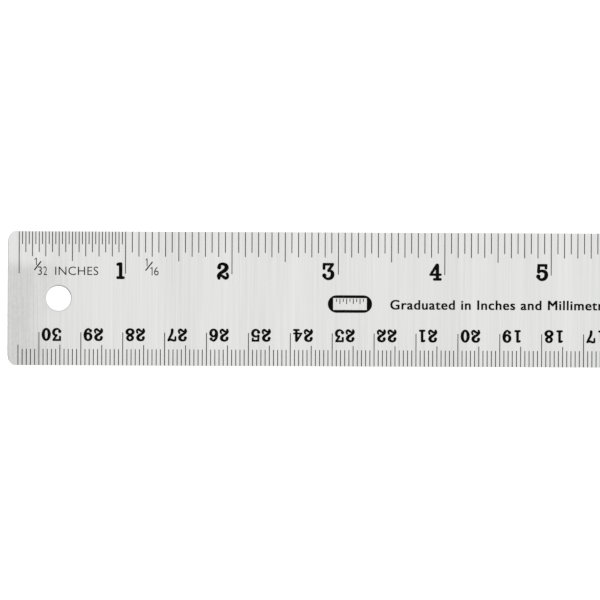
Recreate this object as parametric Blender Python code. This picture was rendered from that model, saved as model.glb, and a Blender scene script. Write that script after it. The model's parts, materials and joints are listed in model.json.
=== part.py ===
"""A flexible steel ruler, 12 inches and 30 centimetres, with a cork backing.

The ruler lies face up on the plane z = 0. The origin is the middle of its underside, +X runs
along the blade away from the hanging hole, and +Y points to the edge with the inch scale.
The inch scale is centred on the blade. The centimetre scale has its zero on the line of the
twelfth inch and runs the other way, along the opposite edge.
"""

import math

import bmesh
import bpy
from mathutils import Matrix

MM = 0.001
INCH = 0.0254
CENTIMETRE = 0.01

# Steel blade
BLADE_LENGTH = 310.4 * MM
BLADE_WIDTH = 32.2 * MM
BLADE_THICKNESS = 0.5 * MM
CORNER_ALONG = 1.9 * MM
CORNER_ACROSS = 2.8 * MM
CORNER_SEGMENTS = 8
EASED_EDGE = 0.04 * MM

# Hanging hole
HOLE_DIAMETER = 5.9 * MM
HOLE_FROM_END = 12.2 * MM
HOLE_SEGMENTS = 48

# Backing: a cork strip on a film of adhesive, set back from the blade's edges
CORK_THICKNESS = 1.0 * MM
CORK_SIDE_MARGIN = 3.3 * MM
CORK_END_MARGIN = 4.0 * MM
CORK_CORNER_RADIUS = 1.0 * MM
CORK_HOLE_DIAMETER = 7.0 * MM
FILM_THICKNESS = 0.1 * MM
FILM_SETBACK = 0.2 * MM
BOND_GAP = 0.02 * MM

# Graduations, as grooves in the blade's face
GROOVE_WIDTH = 0.2 * MM
GROOVE_DEPTH = 0.05 * MM
CUT_CLEARANCE = 0.5 * MM
INCH_SCALE_LENGTH = 12
INCH_EDGE_MARGIN = 0.15 * MM
FINE_DIVISIONS = 32
COARSE_DIVISIONS = 16
INCH_LINE_ENDS = {1: 10.2 * MM, 2: 7.2 * MM, 4: 6.1 * MM, 8: 6.1 * MM, 16: 5.1 * MM, 32: 3.2 * MM}
METRIC_SCALE_MM = 305
CENTIMETRE_LINE = 8.0 * MM
FIVE_MM_LINE = 5.0 * MM
ONE_MM_LINE = 4.0 * MM

# Heights, from the underside up
CORK_TOP = CORK_THICKNESS
FILM_BOTTOM = CORK_TOP + BOND_GAP
FILM_TOP = FILM_BOTTOM + FILM_THICKNESS
BLADE_BOTTOM = FILM_TOP + BOND_GAP
BLADE_TOP = BLADE_BOTTOM + BLADE_THICKNESS

HOLE_X = HOLE_FROM_END - BLADE_LENGTH / 2
HALF_WIDTH = BLADE_WIDTH / 2
INCH_ZERO_X = -INCH_SCALE_LENGTH * INCH / 2
METRIC_ZERO_X = INCH_SCALE_LENGTH * INCH / 2


def clear_scene():
    for old in list(bpy.data.objects):
        bpy.data.objects.remove(old)


def new_material(name, color, metallic, roughness):
    material = bpy.data.materials.new(name)
    material.use_nodes = True
    shader = material.node_tree.nodes["Principled BSDF"]
    shader.inputs["Base Color"].default_value = (*color, 1.0)
    shader.inputs["Metallic"].default_value = metallic
    shader.inputs["Roughness"].default_value = roughness
    return material


def new_object(name, bm, material=None):
    mesh = bpy.data.meshes.new(name)
    bmesh.ops.recalc_face_normals(bm, faces=bm.faces)
    bm.to_mesh(mesh)
    bm.free()
    obj = bpy.data.objects.new(name, mesh)
    bpy.context.scene.collection.objects.link(obj)
    if material:
        mesh.materials.append(material)
    return obj


def add_box(bm, low, high):
    size = [b - a for a, b in zip(low, high)]
    middle = [(a + b) / 2 for a, b in zip(low, high)]
    place = Matrix.Translation(middle) @ Matrix.Diagonal((*size, 1.0))
    bmesh.ops.create_cube(bm, size=1.0, matrix=place)


def rounded_outline(length, width, along, across):
    """A rectangle round the origin, whose corners are quarter ellipses along by across in size."""
    points = []
    for quarter, (side_x, side_y) in enumerate(((1, 1), (-1, 1), (-1, -1), (1, -1))):
        middle_x = side_x * (length / 2 - along)
        middle_y = side_y * (width / 2 - across)
        for step in range(CORNER_SEGMENTS + 1):
            angle = (quarter + step / CORNER_SEGMENTS) * math.pi / 2
            points.append((middle_x + along * math.cos(angle), middle_y + across * math.sin(angle)))
    return points


def strip_mesh(outline, bottom, top):
    """A flat bar with the given outline."""
    bm = bmesh.new()
    lower = [bm.verts.new((x, y, bottom)) for x, y in outline]
    upper = [bm.verts.new((x, y, top)) for x, y in outline]
    bm.faces.new(lower[::-1])
    bm.faces.new(upper)
    for i in range(len(outline)):
        bm.faces.new((lower[i - 1], lower[i], upper[i], upper[i - 1]))
    return bm


def cut(target, cutter, name):
    modifier = target.modifiers.new(name, "BOOLEAN")
    modifier.operation = "DIFFERENCE"
    modifier.solver = "EXACT"
    modifier.object = cutter


def as_cutter(obj):
    obj.hide_render = True
    obj.display_type = "WIRE"
    return obj


def hole_cutter(name, diameter):
    bm = bmesh.new()
    bmesh.ops.create_cone(
        bm,
        cap_ends=True,
        segments=HOLE_SEGMENTS,
        radius1=diameter / 2,
        radius2=diameter / 2,
        depth=BLADE_TOP + 2 * CUT_CLEARANCE,
        matrix=Matrix.Translation((HOLE_X, 0.0, BLADE_TOP / 2)),
    )
    return as_cutter(new_object(name, bm))


def inch_line_end(step):
    """How far from the inch edge the line that is this many 32nds from zero ends."""
    divisor = FINE_DIVISIONS // math.gcd(step, FINE_DIVISIONS)
    return INCH_LINE_ENDS[divisor]


def inch_lines():
    """(x, distance of the far end from the inch edge) of each line of the inch scale."""
    coarse_step = FINE_DIVISIONS // COARSE_DIVISIONS
    steps = list(range(FINE_DIVISIONS))
    steps += range(FINE_DIVISIONS, INCH_SCALE_LENGTH * FINE_DIVISIONS + 1, coarse_step)
    return [(INCH_ZERO_X + step * INCH / FINE_DIVISIONS, inch_line_end(step)) for step in steps]


def metric_line_end(millimetres):
    """How far from the metric edge the line at this many millimetres ends."""
    if millimetres % 10 == 0:
        return CENTIMETRE_LINE
    if millimetres % 5 == 0:
        return FIVE_MM_LINE
    return ONE_MM_LINE


def metric_lines():
    """(x, distance of the far end from the metric edge) of each line of the metric scale."""
    steps = range(METRIC_SCALE_MM + 1)
    return [(METRIC_ZERO_X - step * MM, metric_line_end(step)) for step in steps]


def graduation_cutter():
    """Every groove as a small box: closed ones on the inch side, open at the metric edge."""
    bm = bmesh.new()
    floor = BLADE_TOP - GROOVE_DEPTH
    ceiling = BLADE_TOP + CUT_CLEARANCE
    for x, reach in inch_lines():
        low = (x - GROOVE_WIDTH / 2, HALF_WIDTH - reach, floor)
        high = (x + GROOVE_WIDTH / 2, HALF_WIDTH - INCH_EDGE_MARGIN, ceiling)
        add_box(bm, low, high)
    for x, reach in metric_lines():
        low = (x - GROOVE_WIDTH / 2, -HALF_WIDTH - CUT_CLEARANCE, floor)
        high = (x + GROOVE_WIDTH / 2, -HALF_WIDTH + reach, ceiling)
        add_box(bm, low, high)
    return as_cutter(new_object("graduation_cutter", bm))


def ease_edges(obj):
    modifier = obj.modifiers.new("eased_edges", "BEVEL")
    modifier.width = EASED_EDGE
    modifier.segments = 1
    modifier.limit_method = "ANGLE"
    modifier.angle_limit = math.radians(40)


def smooth_rounds(obj):
    obj.data.shade_smooth()
    obj.data.set_sharp_from_angle(angle=math.radians(30))


def steel_blade():
    steel = new_material("stainless_steel", (0.76, 0.77, 0.75), 1.0, 0.32)
    outline = rounded_outline(BLADE_LENGTH, BLADE_WIDTH, CORNER_ALONG, CORNER_ACROSS)
    blade = new_object("steel_blade", strip_mesh(outline, BLADE_BOTTOM, BLADE_TOP), steel)
    cut(blade, hole_cutter("blade_hole_cutter", HOLE_DIAMETER), "hanging_hole")
    ease_edges(blade)
    cut(blade, graduation_cutter(), "graduations")
    smooth_rounds(blade)
    return blade


def cork_backing():
    cork = new_material("cork", (0.52, 0.33, 0.18), 0.0, 0.9)
    length = BLADE_LENGTH - 2 * CORK_END_MARGIN
    width = BLADE_WIDTH - 2 * CORK_SIDE_MARGIN
    outline = rounded_outline(length, width, CORK_CORNER_RADIUS, CORK_CORNER_RADIUS)
    backing = new_object("cork_backing", strip_mesh(outline, 0.0, CORK_TOP), cork)
    cut(backing, hole_cutter("cork_hole_cutter", CORK_HOLE_DIAMETER), "hanging_hole")
    smooth_rounds(backing)
    return backing


def adhesive_film():
    adhesive = new_material("adhesive", (0.80, 0.70, 0.45), 0.0, 0.45)
    length = BLADE_LENGTH - 2 * (CORK_END_MARGIN + FILM_SETBACK)
    width = BLADE_WIDTH - 2 * (CORK_SIDE_MARGIN + FILM_SETBACK)
    radius = CORK_CORNER_RADIUS - FILM_SETBACK
    outline = rounded_outline(length, width, radius, radius)
    film = new_object("adhesive_film", strip_mesh(outline, FILM_BOTTOM, FILM_TOP), adhesive)
    hole = hole_cutter("film_hole_cutter", CORK_HOLE_DIAMETER + 2 * FILM_SETBACK)
    cut(film, hole, "hanging_hole")
    smooth_rounds(film)
    return film


def main():
    clear_scene()
    cork_backing()
    adhesive_film()
    steel_blade()


main()
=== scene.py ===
"""The looks of a flexible steel ruler with etched, black-filled graduations and a cork backing.

Flat marks are laid out in millimetres on the blade's face, x along the blade from its middle and
y towards the inch edge. One triangulation of the whole face gives the steel between the marks,
the etched recesses and the black infill in them.
"""

import json
import math

import bmesh
import bpy
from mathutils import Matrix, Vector, noise
from mathutils.geometry import delaunay_2d_cdt


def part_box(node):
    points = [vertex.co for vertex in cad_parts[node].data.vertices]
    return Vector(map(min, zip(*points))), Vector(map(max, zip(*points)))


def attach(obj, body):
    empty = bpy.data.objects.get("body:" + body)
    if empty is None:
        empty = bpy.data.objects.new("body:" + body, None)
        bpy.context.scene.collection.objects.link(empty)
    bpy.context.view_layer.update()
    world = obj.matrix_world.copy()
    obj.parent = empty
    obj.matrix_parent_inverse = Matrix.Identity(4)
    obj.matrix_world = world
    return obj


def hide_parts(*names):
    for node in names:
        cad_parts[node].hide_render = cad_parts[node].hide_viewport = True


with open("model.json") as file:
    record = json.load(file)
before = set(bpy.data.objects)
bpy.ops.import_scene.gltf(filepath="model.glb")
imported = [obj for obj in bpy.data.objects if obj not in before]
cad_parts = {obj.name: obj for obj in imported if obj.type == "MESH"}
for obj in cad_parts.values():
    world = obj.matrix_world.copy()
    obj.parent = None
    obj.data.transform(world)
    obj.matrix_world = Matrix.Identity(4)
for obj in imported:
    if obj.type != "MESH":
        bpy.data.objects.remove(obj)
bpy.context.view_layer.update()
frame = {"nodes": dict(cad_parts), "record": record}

MM = 0.001
INCH_MM = 25.4

# Blade. All lengths from here to the studio are in millimetres
CORNER_ALONG = 1.9
CORNER_ACROSS = 2.8
CORNER_STEPS = 12
HOLE_STEPS = 72
SIDE_SPACING = 2.5

# Deburred edges: (growth of the outline, height over the face) from the face down to the side,
# and what part of that growth the two long sides have. The lower edges mirror the upper ones
RIM_PROFILE = ((-0.30, 0.0), (-0.11, -0.12), (0.0, -0.20))
INCH_SIDE_SHARE = 0.43
METRIC_SIDE_SHARE = 0.26
HOLE_PROFILE = ((-0.34, 0.0), (-0.20, -0.038), (-0.09, -0.102), (0.0, -0.18))

# Etched recesses and the infill in them: how deep, and how far in from the outline at that depth
ETCH_DEPTH = 0.05
ETCH_INSET = 0.06
INFILL_TOP_DEPTH = 0.008
INFILL_TOP_INSET = 0.010
INFILL_BASE_DEPTH = 0.046
INFILL_BASE_INSET = 0.056
MITRE_LIMIT = 1.6

# Graduations: how long and how fine the scales are, and how far from the blade's edge the lines
# start and end. The inch lines' ends go by the divisor of their fraction
INCHES = 12
FINE_DIVISIONS = 32
COARSE_DIVISIONS = 16
LINE_WIDTH = 0.22
INCH_EDGE_MARGIN = 0.17
METRIC_EDGE_MARGIN = 0.12
INCH_LINE_ENDS = {1: 10.2, 2: 7.2, 4: 6.1, 8: 6.1, 16: 5.1, 32: 3.2}
METRIC_LINES = 305
CENTIMETRE_LINE = 8.0
FIVE_MM_LINE = 5.0
ONE_MM_LINE = 4.0

# Numerals: height, baseline, and gap between the last digit and the middle of its line. The
# digits' cell and widths are for a height of one
INCH_NUMERAL_HEIGHT = 4.05
INCH_NUMERAL_BASE = 4.6
INCH_NUMERAL_GAPS = {1: 0.13, 2: 0.72, 3: 0.98}
INCH_NUMERAL_GAP = 0.75
METRIC_NUMERAL_HEIGHT = 3.07
METRIC_NUMERAL_BASE = -7.12
METRIC_NUMERAL_GAP = 0.66
DIGIT_CELL = 0.825
DIGIT_WIDTHS = (0.70, 0.52, 0.72, 0.72, 0.74, 0.71, 0.68, 0.70, 0.70, 0.68)

# Captions of the scales: (distance from the zero of their own scale, length)
CAPTION_BASE = 5.52
CAPTION_HEIGHT = 2.05
CAPTION_SPACING = 1.05
INCHES_CAPTION = (8.6, 10.3)
METRIC_CAPTION = (2.6, 3.5)
LETTER_STEPS = 8

# Fractions: place on the inch scale, ends of the slash, and each digit with the left, right, low
# and high side of its box
THIRTY_SECONDS_X = 3.6
THIRTY_SECONDS_SLASH = ((0.12, 1.25), (1.56, 3.2))
THIRTY_SECONDS_DIGITS = (
    ("1", (0.0, 0.62, 2.32, 4.1)),
    ("3", (0.89, 1.85, 0.0, 2.06)),
    ("2", (2.19, 3.08, 0.0, 2.06)),
)
SIXTEENTHS_X = 30.15
SIXTEENTHS_SLASH = ((0.1, 1.25), (1.6, 3.15))
SIXTEENTHS_DIGITS = (
    ("1", (0.0, 0.5, 2.2, 4.06)),
    ("1", (1.15, 1.7, 0.0, 2.0)),
    ("6", (2.05, 3.15, 0.0, 2.05)),
)
SLASH_WIDTH = 0.32

# The small 1: its stem, and its flag from the upper left to the upper right corner of its box
SMALL_STEM_WIDTH = 0.22
SMALL_FLAG_WIDTH = 0.2
SMALL_FLAG_START = (0.1, -0.36)
SMALL_FLAG_END = (-0.16, -0.1)

# Legend and emblem in the middle of the blade. The emblem's even lines reach further than its odd
# ones
LEGEND_X = -63.8
LEGEND_BASE = -2.4
LEGEND_LENGTH = 54.0
LEGEND_HEIGHT = 2.35
LEGEND_WEIGHT = 0.06
LEGEND_SPACING = 1.1
EMBLEM_X = -73.4
EMBLEM_Y = -1.1
EMBLEM_STRAIGHT = 6.4
EMBLEM_RADIUS = 2.1
EMBLEM_STEPS = 48
EMBLEM_RULER = (8.0, 2.8)
EMBLEM_LINES = 10
EMBLEM_LINE_REACHES = (1.4, 0.9)
EMBLEM_LINE_MARGIN = 0.15

# Cork sheet: its mesh, its granules, and the seams between them, which are SEAM_WIDTH of a
# granule wide
CORK_RADIUS = 1.0
CORK_CORNER_STEPS = 6
CORK_HOLE_STEPS = 48
CORK_SPACING = 0.5
CORK_ROWS = 4
GRANULE = 1.5
GRANULE_DEPTH = 0.04
GRANULE_SHUFFLE = 7.3
SEAM_WIDTH = 0.22
SEAM_DEPTH = 0.06
LEVEL_TOLERANCE = 0.001

# Noise: the middle of a noise texture's values, and the range that most of them are in.
# All scales of noise below are in cells to the metre along each axis
NOISE_MIDDLE = 0.5
NOISE_RANGE = (0.3, 0.7)

# Steel: its grain, and how much each size of grain shows
BRUSHING_MAP = "brushing"
STEEL_COLOUR = (0.774, 0.776, 0.760)
STEEL_ROUGHNESS = (0.28, 0.36)
STEEL_ANISOTROPY = 0.5
FINE_GRAIN = (5200.0, 50.0, 50.0)
MEDIUM_GRAIN = (1400.0, 18.0, 18.0)
BROAD_GRAIN = (110.0, 6.0, 6.0)
GRAIN_WEIGHTS = (0.16, 0.20, 0.17)
GRAIN_DEPTH = 0.002

# The end zones, darkened by painted shade and scuffed by wear: distances from the blade's ends and
# heights across it between which they fade, how far that boundary wanders, how much darker the
# painted shade makes them, and how much stronger their streaks
END_ZONE = (3.0, 15.5)
SHADE_AND_WEAR_SIDE = (6.5, 10.5)
SHADE_AND_WEAR_EDGE_WANDER = 9.0
SHADE_AND_WEAR_PATCHES = (110.0, 110.0, 110.0)
END_PAINTED_SHADE = 0.17
END_STREAKS = 1.8
SCUFFS = (1100.0, 1100.0, 1100.0)
SCUFF_WEIGHT = 0.16

# Deburred edges
EDGE_COLOUR = (0.70, 0.71, 0.70)
EDGE_MARKS = (900.0, 900.0, 2500.0)
EDGE_BRIGHTNESS = (0.86, 1.04)
EDGE_ROUGHNESS = (0.28, 0.38)
EDGE_MARK_DEPTH = 0.004

# Enamel
ENAMEL_BLOTCHES = (1800.0, 1100.0, 1800.0)
ENAMEL_BLACKS = ((0.3, (0.001, 0.001, 0.001)), (0.7, (0.004, 0.004, 0.004)))
ENAMEL_ROUGHNESS = (0.5, 0.68)
ENAMEL_SPECULAR = 0.03
ENAMEL_BLOTCH_DEPTH = 0.004

# Cork: shares of the granules by colour; how far their shapes are warped, and how far from the
# seams their darkness ends, both in granules; and the specks
CORK_BROWNS = (
    (0.0, (0.20, 0.105, 0.050)),
    (0.25, (0.40, 0.235, 0.115)),
    (0.6, (0.52, 0.325, 0.170)),
    (1.0, (0.66, 0.450, 0.255)),
)
CORK_ROUGHNESS = (0.78, 0.95)
CORK_DEPTH = 0.12
WARP_SCALE = 1.7
WARP = (0.7, 0.7, 0.7)
SEAM_EDGE = (0.0, 0.09)
SEAM_SHADE = (0.55, 1.0)
SPECKS = (3200.0, 3200.0, 3200.0)
SPECK_EDGE = (0.36, 0.62)
SPECK_SHADE = (0.72, 1.1)
SPECK_HEIGHT = 0.35

# Adhesive
ADHESIVE_CLOUDS = (140.0, 140.0, 140.0)
ADHESIVE_AMBERS = ((0.3, (0.74, 0.60, 0.33)), (0.7, (0.86, 0.77, 0.52)))
ADHESIVE_ROUGHNESS = (0.3, 0.55)
BUBBLES = (2600.0, 2600.0, 2600.0)
BUBBLE_DEPTH = 0.01

# Studio: table, in metres
WHITE = (1.0, 1.0, 1.0)
TABLE_HALF_SIZE = 6.0
TABLE_CLOUDS = (30.0, 30.0, 30.0)
TABLE_SHADE = (0.60, 0.62)
TABLE_ROUGHNESS = 0.9
TABLE_GLOW = 0.8

# Studio: surroundings. HORIZON is their brightness low down, on the dark and on the bright side,
# and DARK_SIDE the dot products with LAMP_SIDE that it changes between. Higher up, between the
# two heights of CEILING_EDGE, the brightness rises to CEILING
CEILING = 1.0
CEILING_EDGE = (0.35, 0.85)
HORIZON = (0.22, 0.95)
DARK_SIDE = (-0.8, -0.4)
LAMP_SIDE = (0.53, 0.85, 0.0)

# Studio: lamp in metres, and camera in millimetres and degrees
LAMP_PLACE = (0.46, 0.73, 0.62)
LAMP_SIZE = 1.5
LAMP_POWER = 4.0
SENSOR_WIDTH = 36.0
CAMERA_LENS = 100.0
CAMERA_DISTANCE = 397.8
CAMERA_X = -85.33
CAMERA_Y = -0.18
CAMERA_TURN = 0.25

# Triangulation: what counts as the same point, as no area, as a straight line and as no length
TRIANGULATION_TOLERANCE = 1e-5
SLIVER_AREA = 1e-7
OUTLINE_TOLERANCE = 0.0006
NO_LENGTH_SQUARED = 1e-12


# ---------------------------------------------------------------- flat shapes

def signed_area(polygon):
    corners = zip(polygon, [*polygon[1:], polygon[0]])
    return sum(a[0] * b[1] - b[0] * a[1] for a, b in corners) / 2


def anticlockwise(polygons):
    """The polygons that have an area, each with its corners in anticlockwise order."""
    turned = []
    for polygon in polygons:
        area = signed_area(polygon)
        if abs(area) > SLIVER_AREA:
            turned.append(polygon if area > 0 else polygon[::-1])
    return turned


def triangulate(polygons):
    """Corners, triangles, the polygons each triangle is inside, and each corner's input corners."""
    corners, faces = [], []
    for polygon in polygons:
        faces.append(list(range(len(corners), len(corners) + len(polygon))))
        corners += [Vector(p) for p in polygon]
    result = delaunay_2d_cdt(corners, [], faces, 1, TRIANGULATION_TOLERANCE, True)
    return result[0], result[2], result[5], result[3]


def bar(x0, y0, x1, y1):
    return [(x0, y0), (x1, y0), (x1, y1), (x0, y1)]


def disc(x, y, radius, steps=20):
    turns = [math.tau * i / steps for i in range(steps)]
    return [(x + radius * math.cos(a), y + radius * math.sin(a)) for a in turns]


def strip(left, right):
    """Triangles between two lines of points."""
    triangles = []
    for a, b, c, d in zip(left, left[1:], right, right[1:]):
        triangles += [[a, b, c], [b, d, c]]
    return triangles


def ring(x, y, outer, inner, steps=40):
    """The area between two ellipses round (x, y), each given by its half width and half height."""
    turns = [math.tau * i / steps for i in range(steps + 1)]
    edges = []
    for rx, ry in (outer, inner):
        edges.append([(x + rx * math.cos(a), y + ry * math.sin(a)) for a in turns])
    return strip(*edges)


def smooth_points(points, steps):
    """A Catmull-Rom curve through points of any number of coordinates."""
    ends = [points[0], *points, points[-1]]
    curve = []
    for p0, p1, p2, p3 in zip(ends, ends[1:], ends[2:], ends[3:]):
        for i in range(steps):
            t = i / steps
            weights = (
                (-t + 2 * t**2 - t**3) / 2,
                (2 - 5 * t**2 + 3 * t**3) / 2,
                (t + 4 * t**2 - 3 * t**3) / 2,
                (-(t**2) + t**3) / 2,
            )
            around = (p0, p1, p2, p3)
            curve.append([sum(w * p[k] for w, p in zip(weights, around)) for k in range(len(p1))])
    curve.append(list(points[-1]))
    return curve


def stroke(points, steps=8):
    """A pen stroke with round ends through (x, y, width) points."""
    path = smooth_points(points, steps)
    left, right = [], []
    for i, (x, y, width) in enumerate(path):
        before, after = path[max(i - 1, 0)], path[min(i + 1, len(path) - 1)]
        along = Vector((after[0] - before[0], after[1] - before[1])).normalized()
        side = Vector((-along.y, along.x)) * width / 2
        left.append((x + side.x, y + side.y))
        right.append((x - side.x, y - side.y))
    caps = [disc(x, y, width / 2) for x, y, width in (path[0], path[-1])]
    return strip(left, right) + caps


# ---------------------------------------------------------------- slab-serif digits, one unit high

def digit_zero():
    return ring(0.35, 0.5, (0.365, 0.515), (0.10, 0.33))


def digit_one():
    flag = stroke([(0.095, 0.875, 0.19), (0.17, 0.92, 0.15), (0.27, 0.925, 0.14)])
    stem = [bar(0.155, 0.05, 0.370, 0.94), disc(0.270, 0.9, 0.1)]
    foot = stroke([(0.089, 0.089, 0.178), (0.431, 0.089, 0.178)])
    return flag + stem + foot


def digit_two():
    bowl = [
        (0.13, 0.75, 0.21),
        (0.18, 0.87, 0.19),
        (0.34, 0.925, 0.18),
        (0.52, 0.86, 0.23),
        (0.58, 0.71, 0.265),
        (0.50, 0.565, 0.25),
        (0.34, 0.46, 0.22),
        (0.18, 0.35, 0.20),
        (0.10, 0.22, 0.20),
        (0.14, 0.075, 0.18),
    ]
    wave = [
        (0.16, 0.17, 0.15),
        (0.27, 0.235, 0.16),
        (0.40, 0.16, 0.19),
        (0.52, 0.085, 0.20),
        (0.63, 0.15, 0.19),
        (0.645, 0.26, 0.17),
        (0.605, 0.345, 0.17),
    ]
    return stroke(bowl) + stroke(wave) + [disc(0.145, 0.725, 0.13)]


def digit_three():
    top = [bar(0.035, 0.85, 0.695, 1.015)]
    drop = stroke([(0.115, 0.92, 0.18), (0.115, 0.68, 0.18)])
    slope = stroke([(0.62, 0.92, 0.18), (0.38, 0.56, 0.18)])
    bowl = [
        (0.38, 0.535, 0.15),
        (0.50, 0.545, 0.17),
        (0.595, 0.45, 0.22),
        (0.615, 0.30, 0.24),
        (0.54, 0.145, 0.22),
        (0.36, 0.07, 0.17),
        (0.20, 0.125, 0.15),
        (0.14, 0.22, 0.17),
    ]
    return top + drop + slope + stroke(bowl) + [disc(0.135, 0.265, 0.135)]


def digit_four():
    stem = [bar(0.385, 0.045, 0.595, 0.935), disc(0.475, 0.905, 0.11)]
    slope = stroke([(0.455, 0.90, 0.20), (0.085, 0.345, 0.15)])
    crossbar = stroke([(0.08, 0.345, 0.15), (0.67, 0.345, 0.16)])
    foot = stroke([(0.305, 0.07, 0.17), (0.67, 0.07, 0.17)])
    return stem + slope + crossbar + foot


def digit_five():
    top = [bar(0.075, 0.835, 0.675, 1.005)]
    drop = stroke([(0.59, 0.90, 0.17), (0.585, 0.755, 0.17)])
    stem = stroke([(0.165, 0.91, 0.18), (0.14, 0.53, 0.18)])
    bowl = [
        (0.16, 0.50, 0.15),
        (0.25, 0.575, 0.16),
        (0.38, 0.59, 0.18),
        (0.55, 0.52, 0.22),
        (0.605, 0.345, 0.24),
        (0.53, 0.16, 0.22),
        (0.35, 0.075, 0.18),
        (0.20, 0.125, 0.16),
        (0.14, 0.22, 0.17),
    ]
    return top + drop + stem + stroke(bowl) + [disc(0.135, 0.255, 0.135)]


def digit_seven():
    serif = stroke([(0.08, 0.92, 0.17), (0.075, 0.66, 0.16)])
    top = [
        (0.09, 0.91, 0.19),
        (0.22, 0.935, 0.18),
        (0.38, 0.875, 0.19),
        (0.52, 0.875, 0.19),
        (0.635, 0.95, 0.13),
    ]
    stem = [
        (0.62, 0.90, 0.17),
        (0.52, 0.70, 0.19),
        (0.39, 0.46, 0.21),
        (0.335, 0.27, 0.23),
        (0.33, 0.10, 0.23),
    ]
    return serif + stroke(top) + stroke(stem)


def digit_eight():
    upper = ring(0.35, 0.745, (0.315, 0.27), (0.09, 0.10))
    lower = ring(0.35, 0.275, (0.365, 0.29), (0.12, 0.11))
    return upper + lower


def digit_nine():
    bowl = ring(0.33, 0.665, (0.345, 0.35), (0.10, 0.17))
    tail = [
        (0.56, 0.72, 0.23),
        (0.575, 0.48, 0.24),
        (0.50, 0.22, 0.21),
        (0.34, 0.075, 0.18),
        (0.19, 0.12, 0.15),
        (0.14, 0.18, 0.17),
    ]
    return bowl + stroke(tail) + [disc(0.14, 0.205, 0.13)]


def digit_six():
    width = DIGIT_WIDTHS[6]
    return [[(width - x, 1 - y) for x, y in polygon] for polygon in digit_nine()]


def open_edges(triangles):
    """Edges that only one triangle has, with that triangle on their left."""
    edges = {(t[i - 1], t[i]): None for t in triangles for i in range(3)}
    return [(a, b) for a, b in edges if (b, a) not in edges]


def off_line(point, start, end):
    """Distance from a point to the nearest point of a straight line between two others."""
    along, to_point = Vector(end) - Vector(start), Vector(point) - Vector(start)
    share = max(0.0, min(1.0, to_point.dot(along) / max(along.length_squared, NO_LENGTH_SQUARED)))
    return (to_point - along * share).length


def straight(points, start, end):
    """Whether the points between two others are on a straight line between those."""
    between = points[start + 1:end]
    return all(off_line(p, points[start], points[end]) < OUTLINE_TOLERANCE for p in between)


def simplified(loop):
    """A closed line with only as many of its corners as keep it within OUTLINE_TOLERANCE."""
    points = [*loop, loop[0]]
    kept, start = [], 0
    while start < len(points) - 1:
        kept.append(points[start])
        end = start + 1
        while end + 1 < len(points) and straight(points, start, end + 1):
            end += 1
        start = end
    return kept


def outlines(corners, triangles):
    """The closed lines round the area of some triangles, and round the holes in it."""
    onward = {}
    for a, b in open_edges(triangles):
        onward.setdefault(a, []).append(b)
    loops = []
    while onward:
        start = next(iter(onward))
        loop, corner = [], start
        while not loop or corner != start:
            loop.append(tuple(corners[corner]))
            ends = onward[corner]
            following = ends.pop()
            if not ends:
                del onward[corner]
            corner = following
        loops.append(simplified(loop))
    return [loop for loop in loops if len(loop) > 2]


def union(polygons):
    """Outlines of the area that the polygons cover."""
    corners, triangles, inside, _ = triangulate(anticlockwise(polygons))
    return outlines(corners, [tuple(t) for t, owners in zip(triangles, inside) if owners])


def placed(polygons, x, y, size=1.0, upside_down=False):
    """Polygons scaled, turned upside down if need be, and moved to (x, y)."""
    turn = -size if upside_down else size
    return [[(x + turn * px, y + turn * py) for px, py in polygon] for polygon in polygons]


DIGITS = [
    union(draw())
    for draw in (
        digit_zero,
        digit_one,
        digit_two,
        digit_three,
        digit_four,
        digit_five,
        digit_six,
        digit_seven,
        digit_eight,
        digit_nine,
    )
]


def number(value):
    """A whole number one unit high, whose last digit ends at x = 0."""
    digits = [int(c) for c in str(value)]
    right = DIGIT_CELL - (DIGIT_CELL - DIGIT_WIDTHS[digits[-1]]) / 2
    marks = []
    for place, digit in enumerate(reversed(digits)):
        left = (DIGIT_CELL - DIGIT_WIDTHS[digit]) / 2 - DIGIT_CELL * place - right
        marks += placed(DIGITS[digit], left, 0.0)
    return marks


def letter_edges(text, spacing):
    """Corners of the letters in a line of plain sans-serif text, and the edges between them."""
    curve = bpy.data.curves.new("lettering", "FONT")
    curve.body = text
    curve.space_character = spacing
    curve.resolution_u = LETTER_STEPS
    curve.fill_mode = "NONE"
    obj = bpy.data.objects.new("lettering", curve)
    bpy.context.scene.collection.objects.link(obj)
    bpy.context.view_layer.update()
    mesh = obj.evaluated_get(bpy.context.evaluated_depsgraph_get()).to_mesh()
    corners = [tuple(v.co.xy) for v in mesh.vertices]
    edges = [tuple(edge.vertices) for edge in mesh.edges]
    bpy.data.objects.remove(obj)
    bpy.data.curves.remove(curve)
    return corners, edges


def letter_outlines(text, spacing):
    """Outlines of the letters in a line of text."""
    corners, edges = letter_edges(text, spacing)
    neighbours = {}
    for a, b in edges:
        neighbours.setdefault(a, []).append(b)
        neighbours.setdefault(b, []).append(a)
    loops = []
    while neighbours:
        corner = next(iter(neighbours))
        loop = []
        while corner is not None:
            loop.append(corners[corner])
            onward = neighbours.pop(corner)
            corner = next((n for n in onward if n in neighbours), None)
        loops.append(loop)
    return loops


def lettering(text, spacing=1.0, weight=0.0):
    """Outlines of a line of text, with strokes wider by the weight and higher by half of it."""
    letters = anticlockwise(letter_outlines(text, spacing))
    offsets = [(x, y) for x in (-weight / 2, weight / 2) for y in (-weight / 4, weight / 4)]
    polygons = [polygon for x, y in offsets for polygon in placed(letters, x, y)]
    corners, triangles, inside, _ = triangulate(polygons)
    kept = []
    for triangle, owners in zip(triangles, inside):
        copies = [owner // len(letters) for owner in owners]
        if any(copies.count(copy) % 2 for copy in copies):
            kept.append(tuple(triangle))
    return outlines(corners, kept)


def fitted(polygons, x, y, width, height):
    """Polygons scaled to fill a box with its lower left corner at (x, y)."""
    across = [px for polygon in polygons for px, _ in polygon]
    up = [py for polygon in polygons for _, py in polygon]
    left, low = min(across), min(up)
    sx, sy = width / (max(across) - left), height / (max(up) - low)
    return [[(x + sx * (px - left), y + sy * (py - low)) for px, py in p] for p in polygons]


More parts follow.
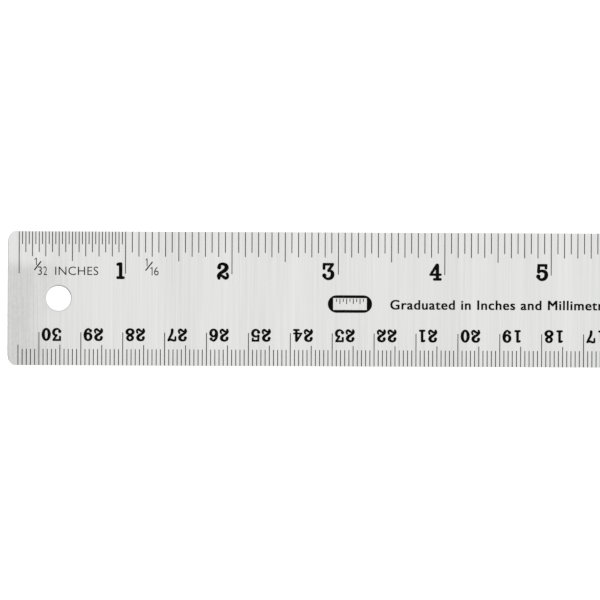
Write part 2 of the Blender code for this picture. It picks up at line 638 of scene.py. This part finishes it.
# ---------------------------------------------------------------- marks on the face

blade_low, blade_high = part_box("steel_blade")
cork_low, cork_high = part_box("cork_backing")
HALF_LENGTH = (blade_high.x - blade_low.x) / 2 / MM
HALF_WIDTH = (blade_high.y - blade_low.y) / 2 / MM
INCH_ZERO = -INCHES * INCH_MM / 2
METRIC_ZERO = INCHES * INCH_MM / 2

opening_low, opening_high = frame["record"]["physics"]["openings"][0]["box_m"]
HOLE_X = (opening_low[0] + opening_high[0]) / 2 / MM


def hole_radius(node):
    """Radius of the hanging hole through a CAD node, in millimetres."""
    vertices = frame["nodes"][node].data.vertices
    return min(math.hypot(v.co.x / MM - HOLE_X, v.co.y / MM) for v in vertices)


def inch_lines():
    coarse = FINE_DIVISIONS // COARSE_DIVISIONS
    steps = [*range(FINE_DIVISIONS), *range(FINE_DIVISIONS, INCHES * FINE_DIVISIONS + 1, coarse)]
    lines = []
    for step in steps:
        x = INCH_ZERO + step * INCH_MM / FINE_DIVISIONS
        reach = INCH_LINE_ENDS[FINE_DIVISIONS // math.gcd(step, FINE_DIVISIONS)]
        low, high = HALF_WIDTH - reach, HALF_WIDTH - INCH_EDGE_MARGIN
        lines.append(bar(x - LINE_WIDTH / 2, low, x + LINE_WIDTH / 2, high))
    return lines


def metric_line_end(millimetres):
    """How far from the metric edge the line at this many millimetres ends."""
    if millimetres % 10 == 0:
        return CENTIMETRE_LINE
    if millimetres % 5 == 0:
        return FIVE_MM_LINE
    return ONE_MM_LINE


def metric_lines():
    lines = []
    for step in range(METRIC_LINES + 1):
        x = METRIC_ZERO - step
        low, high = METRIC_EDGE_MARGIN - HALF_WIDTH, metric_line_end(step) - HALF_WIDTH
        lines.append(bar(x - LINE_WIDTH / 2, low, x + LINE_WIDTH / 2, high))
    return lines


def inch_numerals():
    marks = []
    for value in range(1, INCHES + 1):
        x = INCH_ZERO + value * INCH_MM - INCH_NUMERAL_GAPS.get(value, INCH_NUMERAL_GAP)
        marks += placed(number(value), x, INCH_NUMERAL_BASE, INCH_NUMERAL_HEIGHT)
    return marks


def metric_numerals():
    base, height = METRIC_NUMERAL_BASE, METRIC_NUMERAL_HEIGHT
    marks = []
    for value in range(1, METRIC_LINES // 10 + 1):
        x = METRIC_ZERO - 10 * value + METRIC_NUMERAL_GAP
        marks += placed(number(value), x, base, height, upside_down=True)
    return marks


def small_digit(digit, left, right, low, high):
    """A small digit that fills a box. The 1 is a stem on the right with a flag on its left."""
    if digit != "1":
        return fitted(lettering(digit), left, low, right - left, high - low)
    stem = bar(right - SMALL_STEM_WIDTH, low, right, high)
    start = (left + SMALL_FLAG_START[0], high + SMALL_FLAG_START[1], SMALL_FLAG_WIDTH)
    end = (right + SMALL_FLAG_END[0], high + SMALL_FLAG_END[1], SMALL_FLAG_WIDTH)
    return union([stem, *stroke([start, end])])


def fraction(slash, digits):
    """A slash, and small digits that are each drawn into a box of their own."""
    marks = union(stroke([(*slash[0], SLASH_WIDTH), (*slash[1], SLASH_WIDTH)]))
    for digit, box in digits:
        marks += small_digit(digit, *box)
    return marks


def captions():
    thirty_seconds = fraction(THIRTY_SECONDS_SLASH, THIRTY_SECONDS_DIGITS)
    sixteenths = fraction(SIXTEENTHS_SLASH, SIXTEENTHS_DIGITS)
    marks = placed(thirty_seconds, INCH_ZERO + THIRTY_SECONDS_X, CAPTION_BASE)
    marks += placed(sixteenths, INCH_ZERO + SIXTEENTHS_X, CAPTION_BASE)
    left, width = INCHES_CAPTION
    inches = lettering("INCHES", CAPTION_SPACING)
    marks += fitted(inches, INCH_ZERO + left, CAPTION_BASE, width, CAPTION_HEIGHT)
    left, width = METRIC_CAPTION
    metric = fitted(lettering("CM", CAPTION_SPACING), 0.0, 0.0, width, CAPTION_HEIGHT)
    marks += placed(metric, METRIC_ZERO - left, -CAPTION_BASE, upside_down=True)
    return marks


def legend():
    text = lettering("Graduated in Inches and Millimetres", LEGEND_SPACING, LEGEND_WEIGHT)
    return fitted(text, LEGEND_X, LEGEND_BASE, LEGEND_LENGTH, LEGEND_HEIGHT)


def emblem():
    """A black plate that the picture of a small ruler is left out of, and that ruler's lines."""
    ends = [EMBLEM_X - EMBLEM_STRAIGHT / 2, EMBLEM_X + EMBLEM_STRAIGHT / 2]
    plate = strip(
        [(x, EMBLEM_Y + EMBLEM_RADIUS) for x in ends],
        [(x, EMBLEM_Y - EMBLEM_RADIUS) for x in ends],
    )
    plate += [disc(x, EMBLEM_Y, EMBLEM_RADIUS, EMBLEM_STEPS) for x in ends]
    left, right = EMBLEM_X - EMBLEM_RULER[0] / 2, EMBLEM_X + EMBLEM_RULER[0] / 2
    low, high = EMBLEM_Y - EMBLEM_RULER[1] / 2, EMBLEM_Y + EMBLEM_RULER[1] / 2
    ruler = [bar(left, low, right, high)]
    lines = []
    for i in range(1, EMBLEM_LINES):
        x = left + i * EMBLEM_RULER[0] / EMBLEM_LINES
        start, end = high - EMBLEM_LINE_REACHES[i % 2], high - EMBLEM_LINE_MARGIN
        lines.append(bar(x - LINE_WIDTH / 2, start, x + LINE_WIDTH / 2, end))
    return union(plate), ruler, lines


# ---------------------------------------------------------------- one plan of the whole face

STEEL = "steel"
HOLE = "hole"
QUARTERS = ((1, 1), (-1, 1), (-1, -1), (1, -1))


def quarter_round(side_x, side_y, middle, radii, steps):
    """Points anticlockwise round one corner of an outline, on the given sides of the two axes."""
    first = QUARTERS.index((side_x, side_y))
    angles = [(first + i / steps) * math.pi / 2 for i in range(steps + 1)]
    (x, y), (rx, ry) = middle, radii
    return [(x + rx * math.cos(a), y + ry * math.sin(a)) for a in angles]


def rounded_rectangle(half_x, half_y, radius, steps):
    points = []
    for sx, sy in QUARTERS:
        middle = (sx * (half_x - radius), sy * (half_y - radius))
        points += quarter_round(sx, sy, middle, (radius, radius), steps)
    return points


def resampled(outline, spacing):
    """A closed outline with extra points, so that no side is longer than the spacing."""
    points = []
    for start, end in zip(outline, [*outline[1:], outline[0]]):
        count = max(1, math.ceil(math.dist(start, end) / spacing))
        for i in range(count):
            points.append(tuple(a + (b - a) * i / count for a, b in zip(start, end)))
    return points


def blade_outline(grow):
    """The blade's outline, whose ends are moved out by a length and its long sides by less."""
    points = []
    for sx, sy in QUARTERS:
        middle = (sx * (HALF_LENGTH - CORNER_ALONG), sy * (HALF_WIDTH - CORNER_ACROSS))
        across = CORNER_ACROSS + grow * (INCH_SIDE_SHARE if sy > 0 else METRIC_SIDE_SHARE)
        points += quarter_round(sx, sy, middle, (CORNER_ALONG + grow, across), CORNER_STEPS)
    return resampled(points, SIDE_SPACING)


def blade_hole(grow):
    """The hanging hole's outline, with the steel round it grown into the hole by a length."""
    return disc(HOLE_X, 0.0, hole_radius("steel_blade") - grow, HOLE_STEPS)


def face_layers():
    """What the face is made of, with outlines. Each layer hides those before it."""
    plate, little_ruler, little_lines = emblem()
    return [
        (STEEL, [blade_outline(RIM_PROFILE[0][0])]),
        (HOLE, [blade_hole(HOLE_PROFILE[0][0])]),
        ("infill_inch_lines", inch_lines()),
        ("infill_metric_lines", metric_lines()),
        ("infill_inch_numerals", inch_numerals()),
        ("infill_metric_numerals", metric_numerals()),
        ("infill_captions", captions()),
        ("infill_legend", legend()),
        ("infill_emblem", plate),
        (STEEL, little_ruler),
        ("infill_emblem", little_lines),
    ]


def face_plan():
    """Corners of the face, its triangles by what they are made of, and its two edge loops.

    A layer's area is what an odd number of its outlines are round."""
    layers = face_layers()
    polygons, layer_of = [], []
    for layer, (_, shapes) in enumerate(layers):
        usable = anticlockwise(shapes)
        polygons += usable
        layer_of += [layer] * len(usable)
    corners, triangles, inside, sources = triangulate(polygons)
    regions = {}
    for triangle, owners in zip(triangles, inside):
        over = [layer_of[owner] for owner in owners]
        over = [layer for layer in over if over.count(layer) % 2]
        if over:
            regions.setdefault(layers[max(over)][0], []).append(list(triangle))
    found = {source: i for i, group in enumerate(sources) for source in group}
    rim = [found[i] for i in range(len(polygons[0]))]
    bore = [found[len(rim) + i] for i in range(HOLE_STEPS)]
    del regions[HOLE]
    return corners, regions, rim, bore


def inward_moves(corners, edges):
    """How far each corner of an outline moves as the outline moves in by one unit."""
    normals = {}
    for a, b in edges:
        along = (corners[b] - corners[a]).normalized()
        for corner in (a, b):
            normals.setdefault(corner, []).append(Vector((-along.y, along.x)))
    moves = {}
    for corner, sides in normals.items():
        middle = sum(sides, Vector((0.0, 0.0))).normalized()
        reach = 1 / max(middle.dot(sides[0]), 1 / MITRE_LIMIT)
        moves[corner] = middle * reach
    return moves


def lowered(bm, corners, triangles, moves, inset, z):
    """New vertices for a region's corners at height z, with its outline moved in by inset."""
    used = sorted({i for triangle in triangles for i in triangle})
    still = Vector((0.0, 0.0))
    return {i: add_vertex(bm, corners[i] + inset * moves.get(i, still), z) for i in used}


def add_vertex(bm, point, z):
    return bm.verts.new((point[0] * MM, point[1] * MM, z * MM))


def add_faces(bm, vertices, triangles, facing_down=False):
    for a, b, c in triangles:
        corners = (vertices[a], vertices[b], vertices[c])
        bm.faces.new(corners[::-1] if facing_down else corners)


def add_walls(bm, edges, upper, lower):
    """A wall below each edge. It faces the side that the edges' own area is on."""
    for a, b in edges:
        bm.faces.new((upper[a], upper[b], lower[b], lower[a]))


def add_band(bm, ring, below, outward=True):
    """Faces between two closed rings of vertices, smooth along the rings and creased at them.
    The first ring runs anticlockwise."""
    made = []
    for i in range(len(ring)):
        corners = (ring[i - 1], below[i - 1], below[i], ring[i])
        made.append(bm.faces.new(corners if outward else corners[::-1]))
        made[-1].smooth = True
        for ends in (ring, below):
            bm.edges.get((ends[i - 1], ends[i])).smooth = False
    return made


def add_cap(bm, outer, inner, facing_down=False, loose=()):
    """A flat face between two level rings of vertices, with loose points inside it."""
    rings = [*outer, *inner]
    points = [v.co.xy / MM for v in rings] + [Vector(p) for p in loose]
    loops = [list(range(len(outer))), list(range(len(outer), len(rings)))]
    plan = delaunay_2d_cdt(points, [], loops, 1, TRIANGULATION_TOLERANCE, True)
    corners, triangles, sources, inside = plan[0], plan[2], plan[3], plan[5]
    z = outer[0].co.z / MM
    vertices = []
    for corner, (source, *_) in zip(corners, sources):
        vertices.append(rings[source] if source < len(rings) else add_vertex(bm, corner, z))
    wanted = [t for t, owners in zip(triangles, inside) if owners == [0]]
    add_faces(bm, vertices, wanted, facing_down)


# ---------------------------------------------------------------- pieces

def make_piece(name, bm, materials):
    mesh = bpy.data.meshes.new(name)
    bm.to_mesh(mesh)
    bm.free()
    for material in materials:
        mesh.materials.append(material)
    obj = bpy.data.objects.new(name, mesh)
    bpy.context.scene.collection.objects.link(obj)
    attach(obj, "root")
    return obj


def edge_profile(rim, low, high):
    """(growth of the outline, height) down a side whose top and bottom edges have this rim."""
    upper = [(grow, high + z) for grow, z in rim]
    return upper + [(grow, low - z) for grow, z in reversed(rim)]


def marked_regions(plan):
    """(name, triangles, edges, inward moves of the corners) of each kind of mark."""
    corners, regions, _, _ = plan
    for name, triangles in regions.items():
        if name != STEEL:
            edges = open_edges(triangles)
            yield name, triangles, edges, inward_moves(corners, edges)


def add_side(bm, ring, shape, profile):
    """The deburred side below a closed ring of vertices, and its last ring."""
    for grow, z in profile[1:]:
        below = [add_vertex(bm, point, z) for point in shape(grow)]
        for face in add_band(bm, ring, below, outward=shape is blade_outline):
            face.material_index = 1
        ring = below
    return ring


def ruler_blade(plan):
    """The blade as one closed mesh, with an etched recess for every mark."""
    corners, regions, rim, bore = plan
    low, high = blade_low.z / MM, blade_high.z / MM
    bm = bmesh.new()
    top = [add_vertex(bm, corner, high) for corner in corners]
    add_faces(bm, top, regions[STEEL])
    for _, triangles, edges, moves in marked_regions(plan):
        floor = lowered(bm, corners, triangles, moves, ETCH_INSET, high - ETCH_DEPTH)
        add_faces(bm, floor, triangles)
        add_walls(bm, edges, top, floor)
    outer = add_side(bm, [top[i] for i in rim], blade_outline, edge_profile(RIM_PROFILE, low, high))
    inner = add_side(bm, [top[i] for i in bore], blade_hole, edge_profile(HOLE_PROFILE, low, high))
    add_cap(bm, outer, inner, facing_down=True)
    bmesh.ops.delete(bm, geom=[v for v in bm.verts if not v.link_faces], context="VERTS")
    add_brushing_map(bm)
    blade = make_piece("ruler_blade", bm, [brushed_steel(), eased_steel()])
    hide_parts("steel_blade")


def add_brushing_map(bm):
    """A map whose u runs along the blade, across the grain of the brushed steel."""
    layer = bm.loops.layers.uv.new(BRUSHING_MAP)
    for face in bm.faces:
        for loop in face.loops:
            loop[layer].uv = loop.vert.co.xy / (2 * HALF_LENGTH * MM)


def infill(plan):
    """The black enamel in the recesses: one piece for each kind of mark."""
    corners = plan[0]
    high = blade_high.z / MM
    enamel = black_enamel()
    for name, triangles, edges, moves in marked_regions(plan):
        bm = bmesh.new()
        upper = lowered(bm, corners, triangles, moves, INFILL_TOP_INSET, high - INFILL_TOP_DEPTH)
        lower = lowered(bm, corners, triangles, moves, INFILL_BASE_INSET, high - INFILL_BASE_DEPTH)
        add_faces(bm, upper, triangles)
        add_faces(bm, lower, triangles, facing_down=True)
        add_walls(bm, [(b, a) for a, b in edges], upper, lower)
        make_piece(name, bm, [enamel])


def granule_depth(point):
    """How far the surface of pressed cork lies back at a point."""
    distances, centres = noise.voronoi(Vector(point) / GRANULE)
    seam = max(0.0, 1 - (distances[1] - distances[0]) / SEAM_WIDTH)
    height = noise.cell(centres[0] * GRANULE_SHUFFLE)
    return SEAM_DEPTH * seam**2 + GRANULE_DEPTH * (1 + height) / 2


def room_in_cork(x, y, half_x, half_y, hole):
    """Distance from a point inside the sheet to the nearest of its sides and its hole."""
    over_x, over_y = abs(x) - half_x + CORK_RADIUS, abs(y) - half_y + CORK_RADIUS
    past = math.hypot(max(over_x, 0.0), max(over_y, 0.0)) + min(max(over_x, over_y), 0.0)
    return min(CORK_RADIUS - past, math.hypot(x - HOLE_X, y) - hole)


def loose_points(half_x, half_y, hole):
    """A grid of points inside the cork sheet, clear of its sides and its hole."""
    columns, rows = int(half_x / CORK_SPACING), int(half_y / CORK_SPACING)
    points = []
    for i in range(-columns, columns + 1):
        for j in range(-rows, rows + 1):
            points.append((i * CORK_SPACING, j * CORK_SPACING))
    return [p for p in points if room_in_cork(*p, half_x, half_y, hole) > CORK_SPACING / 2]


def press_granules(bm, top):
    """Sinks the surface below a height by what its granules and seams lie back."""
    bm.normal_update()
    for v in bm.verts:
        if v.co.z < (top - LEVEL_TOLERANCE) * MM:
            v.co -= v.normal * granule_depth(v.co / MM) * MM


def cork_sheet():
    """The cork sheet as one closed mesh, flat only where it is glued."""
    half_x, half_y = (cork_high.x - cork_low.x) / 2 / MM, (cork_high.y - cork_low.y) / 2 / MM
    hole = hole_radius("cork_backing")
    corners = rounded_rectangle(half_x, half_y, CORK_RADIUS, CORK_CORNER_STEPS)
    outline = resampled(corners, CORK_SPACING)
    bore = resampled(disc(HOLE_X, 0.0, hole, CORK_HOLE_STEPS), CORK_SPACING)
    high = cork_high.z / MM
    heights = [high * (1 - row / CORK_ROWS) for row in range(CORK_ROWS + 1)]
    bm = bmesh.new()
    ends = []
    for loop, outward in ((outline, True), (bore, False)):
        rings = [[add_vertex(bm, p, z) for p in loop] for z in heights]
        for ring, below in zip(rings, rings[1:]):
            add_band(bm, ring, below, outward)
        ends.append((rings[0], rings[-1]))
    add_cap(bm, ends[0][0], ends[1][0])
    loose = loose_points(half_x, half_y, hole)
    add_cap(bm, ends[0][1], ends[1][1], facing_down=True, loose=loose)
    press_granules(bm, high)
    sheet = make_piece("cork_sheet", bm, [pressed_cork()])
    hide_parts("cork_backing")


# ---------------------------------------------------------------- materials

def new_material(name):
    """A material, its node tree and its shader."""
    material = bpy.data.materials.new(name)
    material.use_nodes = True
    return material, material.node_tree, material.node_tree.nodes["Principled BSDF"]


def add_node(tree, kind, inputs, **settings):
    """A node with its settings, and its inputs set to values or linked to outputs of others."""
    node = tree.nodes.new(kind)
    for name, value in settings.items():
        setattr(node, name, value)
    for name, value in inputs.items():
        if isinstance(value, bpy.types.NodeSocket):
            tree.links.new(value, node.inputs[name])
        else:
            node.inputs[name].default_value = value
    return node


def coordinates(tree, scale):
    """Object coordinates times a scale for each axis, in cells to the metre."""
    place = add_node(tree, "ShaderNodeTexCoord", {}).outputs["Object"]
    scaled = add_node(tree, "ShaderNodeVectorMath", {0: place, 1: scale}, operation="MULTIPLY")
    return scaled.outputs["Vector"]


def noise_value(tree, scale, detail=2.0):
    inputs = {"Vector": coordinates(tree, scale), "Scale": 1.0, "Detail": detail}
    return add_node(tree, "ShaderNodeTexNoise", inputs).outputs["Fac"]


def remapped(tree, value, source, target, smooth=False):
    """A value mapped from one range to another, and kept within it."""
    inputs = {
        "Value": value,
        "From Min": source[0],
        "From Max": source[1],
        "To Min": target[0],
        "To Max": target[1],
    }
    kind = "SMOOTHSTEP" if smooth else "LINEAR"
    return add_node(tree, "ShaderNodeMapRange", inputs, interpolation_type=kind).outputs["Result"]


def math_node(tree, operation, *values):
    inputs = dict(enumerate(values))
    return add_node(tree, "ShaderNodeMath", inputs, operation=operation).outputs["Value"]


def weighted_sum(tree, start, terms):
    """start plus each value times its weight."""
    total = start
    for value, weight in terms:
        total = math_node(tree, "MULTIPLY_ADD", value, weight, total)
    return total


def colour_times(tree, colour, factor):
    scaled = add_node(tree, "ShaderNodeVectorMath", {0: colour, "Scale": factor}, operation="SCALE")
    return scaled.outputs["Vector"]


def ramp(tree, value, stops):
    """A value turned into a colour by (place, colour) stops."""
    node = add_node(tree, "ShaderNodeValToRGB", {"Fac": value})
    elements = node.color_ramp.elements
    for element, (place, colour) in zip((elements[0], elements[-1]), (stops[0], stops[-1])):
        element.position, element.color = place, (*colour, 1.0)
    for place, colour in stops[1:-1]:
        elements.new(place).color = (*colour, 1.0)
    return node.outputs["Color"]


def bump(tree, shader, height, distance, strength=1.0):
    inputs = {"Height": height, "Distance": distance, "Strength": strength}
    node = add_node(tree, "ShaderNodeBump", inputs)
    tree.links.new(node.outputs["Normal"], shader.inputs["Normal"])


def end_wear(tree):
    """How much painted shade and wear the face has, from 0 to 1: towards both ends, except along
    the inch edge.
    """
    place = add_node(tree, "ShaderNodeTexCoord", {}).outputs["Object"]
    axes = add_node(tree, "ShaderNodeSeparateXYZ", {"Vector": place})
    patches = noise_value(tree, SHADE_AND_WEAR_PATCHES)
    reach = SHADE_AND_WEAR_EDGE_WANDER * MM
    wander = math_node(tree, "MULTIPLY_ADD", patches, reach, -reach / 2)
    from_middle = math_node(tree, "ADD", math_node(tree, "ABSOLUTE", axes.outputs["X"]), wander)
    end_start, end_full = (HALF_LENGTH - END_ZONE[1]) * MM, (HALF_LENGTH - END_ZONE[0]) * MM
    end = remapped(tree, from_middle, (end_start, end_full), (0.0, 1.0), smooth=True)
    across = math_node(tree, "SUBTRACT", axes.outputs["Y"], wander)
    shade_and_wear_side = [height * MM for height in SHADE_AND_WEAR_SIDE]
    side = remapped(tree, across, shade_and_wear_side, (1.0, 0.0), smooth=True)
    return math_node(tree, "MULTIPLY", end, side)


def brushed_steel():
    """Stainless steel brushed across the blade; towards the ends, painted shade darkens it and wear
    scuffs it.
    """
    material, tree, shader = new_material("brushed_steel")
    grain = [noise_value(tree, scale) for scale in (FINE_GRAIN, MEDIUM_GRAIN, BROAD_GRAIN)]
    fine, medium, _ = grain
    shade_and_wear = end_wear(tree)
    scuffs = math_node(tree, "SUBTRACT", noise_value(tree, SCUFFS, detail=4.0), NOISE_MIDDLE)
    streaks = weighted_sum(tree, -NOISE_MIDDLE * sum(GRAIN_WEIGHTS), zip(grain, GRAIN_WEIGHTS))
    strength = remapped(tree, shade_and_wear, (0.0, 1.0), (1.0, END_STREAKS))
    brightness = math_node(tree, "MULTIPLY_ADD", streaks, strength, 1.0)
    scuffed = math_node(tree, "MULTIPLY", scuffs, shade_and_wear)
    # Painted shade darkens the end zones, and scuffs of wear show in them
    brightness = weighted_sum(tree, brightness, [(shade_and_wear, -END_PAINTED_SHADE), (scuffed, SCUFF_WEIGHT)])
    tree.links.new(colour_times(tree, STEEL_COLOUR, brightness), shader.inputs["Base Color"])
    tree.links.new(remapped(tree, medium, NOISE_RANGE, STEEL_ROUGHNESS), shader.inputs["Roughness"])
    shader.inputs["Metallic"].default_value = 1.0
    shader.inputs["Anisotropic"].default_value = STEEL_ANISOTROPY
    tangent = add_node(tree, "ShaderNodeTangent", {}, direction_type="UV_MAP", uv_map=BRUSHING_MAP)
    tree.links.new(tangent.outputs["Tangent"], shader.inputs["Tangent"])
    bump(tree, shader, fine, GRAIN_DEPTH * MM)
    return material


def eased_steel():
    """The deburred edges: not brushed like the face, with faint tumbling marks."""
    material, tree, shader = new_material("eased_steel")
    marks = noise_value(tree, EDGE_MARKS, detail=4.0)
    brightness = remapped(tree, marks, NOISE_RANGE, EDGE_BRIGHTNESS)
    tree.links.new(colour_times(tree, EDGE_COLOUR, brightness), shader.inputs["Base Color"])
    tree.links.new(remapped(tree, marks, NOISE_RANGE, EDGE_ROUGHNESS), shader.inputs["Roughness"])
    shader.inputs["Metallic"].default_value = 1.0
    bump(tree, shader, marks, EDGE_MARK_DEPTH * MM)
    return material


def black_enamel():
    """Baked black enamel, slightly uneven where it was wiped level."""
    material, tree, shader = new_material("black_enamel")
    blotches = noise_value(tree, ENAMEL_BLOTCHES, detail=3.0)
    tree.links.new(ramp(tree, blotches, ENAMEL_BLACKS), shader.inputs["Base Color"])
    roughness = remapped(tree, blotches, NOISE_RANGE, ENAMEL_ROUGHNESS)
    tree.links.new(roughness, shader.inputs["Roughness"])
    shader.inputs["Specular IOR Level"].default_value = ENAMEL_SPECULAR
    bump(tree, shader, blotches, ENAMEL_BLOTCH_DEPTH * MM)
    return material


def pressed_cork():
    """Fine granules of cork in several browns, with dark seams and specks of bark."""
    material, tree, shader = new_material("pressed_cork")
    cells = 1 / (GRANULE * MM)
    place = coordinates(tree, (cells,) * 3)
    noise_inputs = {"Vector": place, "Scale": WARP_SCALE, "Detail": 2.0}
    warp = add_node(tree, "ShaderNodeTexNoise", noise_inputs).outputs["Color"]
    shift = {0: warp, 1: WARP, 2: place}
    shifted = add_node(tree, "ShaderNodeVectorMath", shift, operation="MULTIPLY_ADD")
    cell = {"Vector": shifted.outputs["Vector"], "Scale": 1.0}
    granules = add_node(tree, "ShaderNodeTexVoronoi", cell)
    seams = add_node(tree, "ShaderNodeTexVoronoi", cell, feature="DISTANCE_TO_EDGE")
    tone = add_node(tree, "ShaderNodeSeparateColor", {"Color": granules.outputs["Color"]})
    browns = ramp(tree, tone.outputs["Red"], CORK_BROWNS)
    seam = remapped(tree, seams.outputs["Distance"], SEAM_EDGE, SEAM_SHADE, smooth=True)
    specks = noise_value(tree, SPECKS, detail=3.0)
    speckle = remapped(tree, specks, SPECK_EDGE, SPECK_SHADE)
    shade = math_node(tree, "MULTIPLY", seam, speckle)
    tree.links.new(colour_times(tree, browns, shade), shader.inputs["Base Color"])
    tree.links.new(remapped(tree, specks, NOISE_RANGE, CORK_ROUGHNESS), shader.inputs["Roughness"])
    height = math_node(tree, "MULTIPLY_ADD", specks, SPECK_HEIGHT, seam)
    bump(tree, shader, height, CORK_DEPTH * MM)
    return material


def aged_adhesive():
    """The acrylic film between the cork and the steel: amber, with fine trapped bubbles."""
    material, tree, shader = new_material("aged_adhesive")
    clouds = noise_value(tree, ADHESIVE_CLOUDS, detail=4.0)
    tree.links.new(ramp(tree, clouds, ADHESIVE_AMBERS), shader.inputs["Base Color"])
    bubbles = noise_value(tree, BUBBLES, detail=1.0)
    roughness = remapped(tree, bubbles, NOISE_RANGE, ADHESIVE_ROUGHNESS)
    tree.links.new(roughness, shader.inputs["Roughness"])
    bump(tree, shader, bubbles, BUBBLE_DEPTH * MM)
    return material


def dress_adhesive():
    film = frame["nodes"]["adhesive_film"]
    film.data.materials.clear()
    film.data.materials.append(aged_adhesive())


# ---------------------------------------------------------------- studio

def light_table():
    """A pale table that glows, as if lit from below, so that shadows on it stay faint."""
    bm = bmesh.new()
    bmesh.ops.create_grid(bm, x_segments=1, y_segments=1, size=TABLE_HALF_SIZE)
    mesh = bpy.data.meshes.new("light_table")
    bm.to_mesh(mesh)
    bm.free()
    material, tree, shader = new_material("light_table")
    shade = remapped(tree, noise_value(tree, TABLE_CLOUDS), NOISE_RANGE, TABLE_SHADE)
    tree.links.new(colour_times(tree, WHITE, shade), shader.inputs["Base Color"])
    shader.inputs["Roughness"].default_value = TABLE_ROUGHNESS
    shader.inputs["Specular IOR Level"].default_value = 0.0
    shader.inputs["Emission Color"].default_value = (*WHITE, 1.0)
    shader.inputs["Emission Strength"].default_value = TABLE_GLOW
    mesh.materials.append(material)
    table = bpy.data.objects.new("light_table", mesh)
    bpy.context.scene.collection.objects.link(table)


def surroundings():
    """An even white ceiling that darkens towards the horizon, most away from the lamp."""
    world = bpy.data.worlds.new("surroundings")
    world.use_nodes = True
    tree = world.node_tree
    tree.nodes["Background"].inputs["Color"].default_value = (*WHITE, 1.0)
    direction = add_node(tree, "ShaderNodeTexCoord", {}).outputs["Generated"]
    up = add_node(tree, "ShaderNodeSeparateXYZ", {"Vector": direction}).outputs["Z"]
    facing = add_node(
        tree, "ShaderNodeVectorMath", {0: direction, 1: LAMP_SIDE}, operation="DOT_PRODUCT"
    )
    horizon = remapped(tree, facing.outputs["Value"], DARK_SIDE, HORIZON, smooth=True)
    lift = remapped(tree, up, CEILING_EDGE, (0.0, 1.0), smooth=True)
    rise = math_node(tree, "SUBTRACT", CEILING, horizon)
    radiance = math_node(tree, "MULTIPLY_ADD", rise, lift, horizon)
    tree.links.new(radiance, tree.nodes["Background"].inputs["Strength"])
    bpy.context.scene.world = world


def lamp():
    """A soft light that adds shape to the matt pieces and isn't mirrored by the steel."""
    light = bpy.data.lights.new("lamp", "AREA")
    light.size = LAMP_SIZE
    light.energy = LAMP_POWER
    obj = bpy.data.objects.new("lamp", light)
    bpy.context.scene.collection.objects.link(obj)
    obj.location = LAMP_PLACE
    obj.rotation_euler = Vector(LAMP_PLACE).to_track_quat("Z", "Y").to_euler()
    obj.visible_glossy = False


def camera():
    """A view straight down on the end with the hole, with the ruler turned a little clockwise."""
    data = bpy.data.cameras.new("camera")
    data.lens = CAMERA_LENS
    data.sensor_width = SENSOR_WIDTH
    obj = bpy.data.objects.new("camera", data)
    bpy.context.scene.collection.objects.link(obj)
    obj.location = (CAMERA_X * MM, CAMERA_Y * MM, blade_high.z + CAMERA_DISTANCE * MM)
    obj.rotation_euler = (0.0, 0.0, math.radians(CAMERA_TURN))
    bpy.context.scene.camera = obj


def main():
    plan = face_plan()
    ruler_blade(plan)
    infill(plan)
    cork_sheet()
    dress_adhesive()
    light_table()
    surroundings()
    lamp()
    camera()
    bpy.context.scene.view_settings.view_transform = "Standard"


main()
